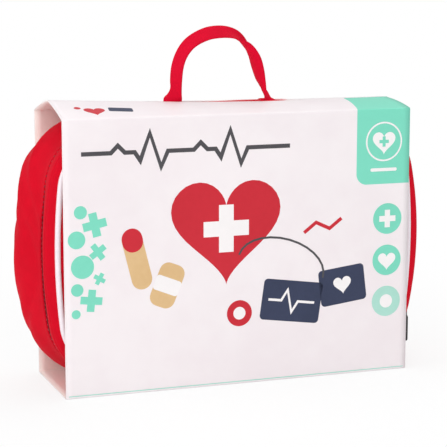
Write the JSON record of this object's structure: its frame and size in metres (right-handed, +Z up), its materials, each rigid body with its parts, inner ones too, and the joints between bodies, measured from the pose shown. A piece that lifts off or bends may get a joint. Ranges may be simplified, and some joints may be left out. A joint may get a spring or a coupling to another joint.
{
  "type": "toy doctor case",
  "caption": "Soft zipped toy doctor case in a card sleeve, with its webbing handle through a slit in the top and wooden toy instruments inside.",
  "frame": {"origin": "on the ground, in the middle of the sleeve's footprint", "axes": "+X to the right along the sleeve's tunnel, +Y to the back, +Z up"},
  "size_m": [0.3074, 0.0806, 0.2562],
  "materials": {
    "card": "matt printed card",
    "red_cloth": "soft padded cloth",
    "white_piping": "satin round cord",
    "zip_tape": "woven tape",
    "zip_teeth": "moulded teeth",
    "zip_metal": "black lacquer",
    "puller_rubber": "soft matt",
    "webbing": "narrow woven band",
    "lining": "stiffened lining",
    "elastic": "ribbed elastic",
    "white_plastic": "gloss",
    "red_plastic": "gloss",
    "bare_wood": "sanded, clear matt lacquer",
    "red_paint_wood": "painted, satin",
    "white_hose": "soft satin",
    "dark_card": "coated card",
    "tan_cloth": "thin cloth",
    "white_cloth": "thin felt"
  },
  "bodies": {
    "case": {"front_panel": "red_cloth", "back_panel": "red_cloth", "front_gusset": "red_cloth", "back_gusset": "red_cloth", "lid_hinge_strip": "red_cloth", "front_piping": "white_piping", "back_piping": "white_piping", "zip_tape_front": "zip_tape", "zip_tape_back": "zip_tape", "zip_teeth": "zip_teeth", "zip_stops": "zip_metal", "handle_tab_left": "webbing", "handle_tab_right": "webbing", "front_board": "lining", "back_board": "lining", "elastic_band": "elastic", "lid_pocket": "lining", "syringe_barrel": "white_plastic", "bottle_body": "bare_wood", "bottle_knob": "red_paint_wood", "ointment_tube": "bare_wood", "ointment_cap": "red_paint_wood", "tweezer_arm_left": "bare_wood", "chest_piece": "red_plastic", "chest_diaphragm": "white_plastic", "stethoscope_hose": "white_hose", "stethoscope_yoke": "red_plastic", "ear_tube_left": "white_plastic", "ear_tube_right": "white_plastic", "ear_tip_left": "red_plastic", "ear_tip_right": "red_plastic", "xray_cards": "dark_card", "prescription_card": "card", "plasters": "tan_cloth", "oval_dish": "bare_wood", "doctor_cap": "white_cloth"},
    "sleeve": {"card_sleeve": "card"},
    "handle": {"handle_strap": "webbing"},
    "slider": {"zip_slider": "zip_metal"},
    "puller": {"zip_puller_link": "zip_metal", "zip_puller_tab": "puller_rubber"},
    "plunger": {"syringe_plunger": "red_plastic"},
    "tweezer_arm": {"tweezer_arm_right": "bare_wood"}
  },
  "joints": [
    {"name": "sleeve_slide", "type": "slide", "parent": "case", "child": "sleeve", "axis": [1, 0, 0], "range_m": [-0.3, 0.3], "deforming": ["handle_strap", "handle_tab_left", "handle_tab_right"]},
    {"name": "handle_swing", "type": "hinge", "parent": "case", "child": "handle", "pos_m": [0, 0, 0.2024], "axis": [1, 0, 0], "range_deg": [-80, 80]},
    {"name": "zip_slide", "type": "hinge", "parent": "case", "child": "slider", "pos_m": [-0.2371, -0.0196, 0.0994], "axis": [0, -1, 0], "range_deg": [0, 17]},
    {"name": "puller_swing", "type": "hinge", "parent": "slider", "child": "puller", "pos_m": [0.13892, -0.0196, 0.0432], "axis": [0, -1, 0], "range_deg": [0, 150]},
    {"name": "plunger_slide", "type": "slide", "parent": "case", "child": "plunger", "axis": [0, 0, -1], "range_m": [0, 0.024]},
    {"name": "tweezer_squeeze", "type": "hinge", "parent": "case", "child": "tweezer_arm", "pos_m": [0.0095, 0.0258, 0.0484], "axis": [0, -1, 0], "range_deg": [0, 3.2], "stiffness_Nm_per_rad": 0.05}
  ]
}
